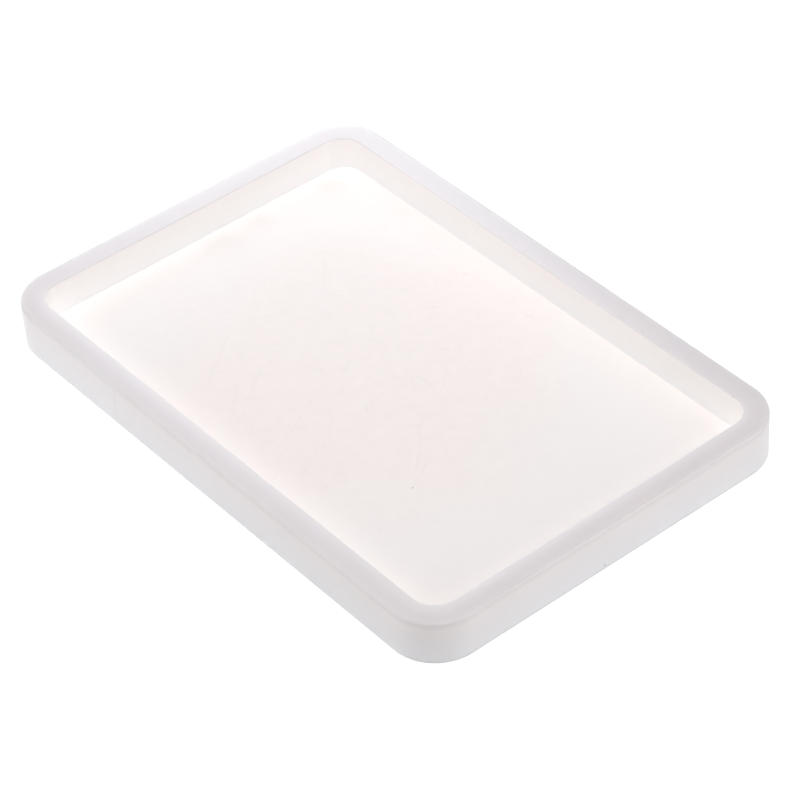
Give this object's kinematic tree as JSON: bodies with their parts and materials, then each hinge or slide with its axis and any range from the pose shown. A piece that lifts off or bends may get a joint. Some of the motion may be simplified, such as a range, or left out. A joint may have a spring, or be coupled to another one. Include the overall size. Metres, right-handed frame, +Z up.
{
  "type": "wet palette",
  "caption": "Open shallow rectangular tray of translucent silicone with rounded corners, holding an absorbent pad and a palette sheet that keeps water-based paint moist.",
  "frame": {"origin": "middle of the tray's underside, on the surface that it rests on", "axes": "+X along the tray's length, +Y along its width, +Z up out of the open side"},
  "size_m": [0.16, 0.108, 0.012],
  "materials": {
    "silicone": "satin",
    "pad": "matte",
    "sheet": "satin"
  },
  "bodies": {
    "tray": {"silicone_tray": "silicone"},
    "pad": {"absorbent_pad": "pad"},
    "sheet": {"palette_sheet": "sheet"}
  },
  "joints": [
    {"name": "pad_lift", "type": "slide", "parent": "tray", "child": "pad", "axis": [0, 0, 1], "range_m": [0, 0.03]},
    {"name": "sheet_lift", "type": "slide", "parent": "pad", "child": "sheet", "axis": [0, 0, 1], "range_m": [0, 0.02]}
  ]
}
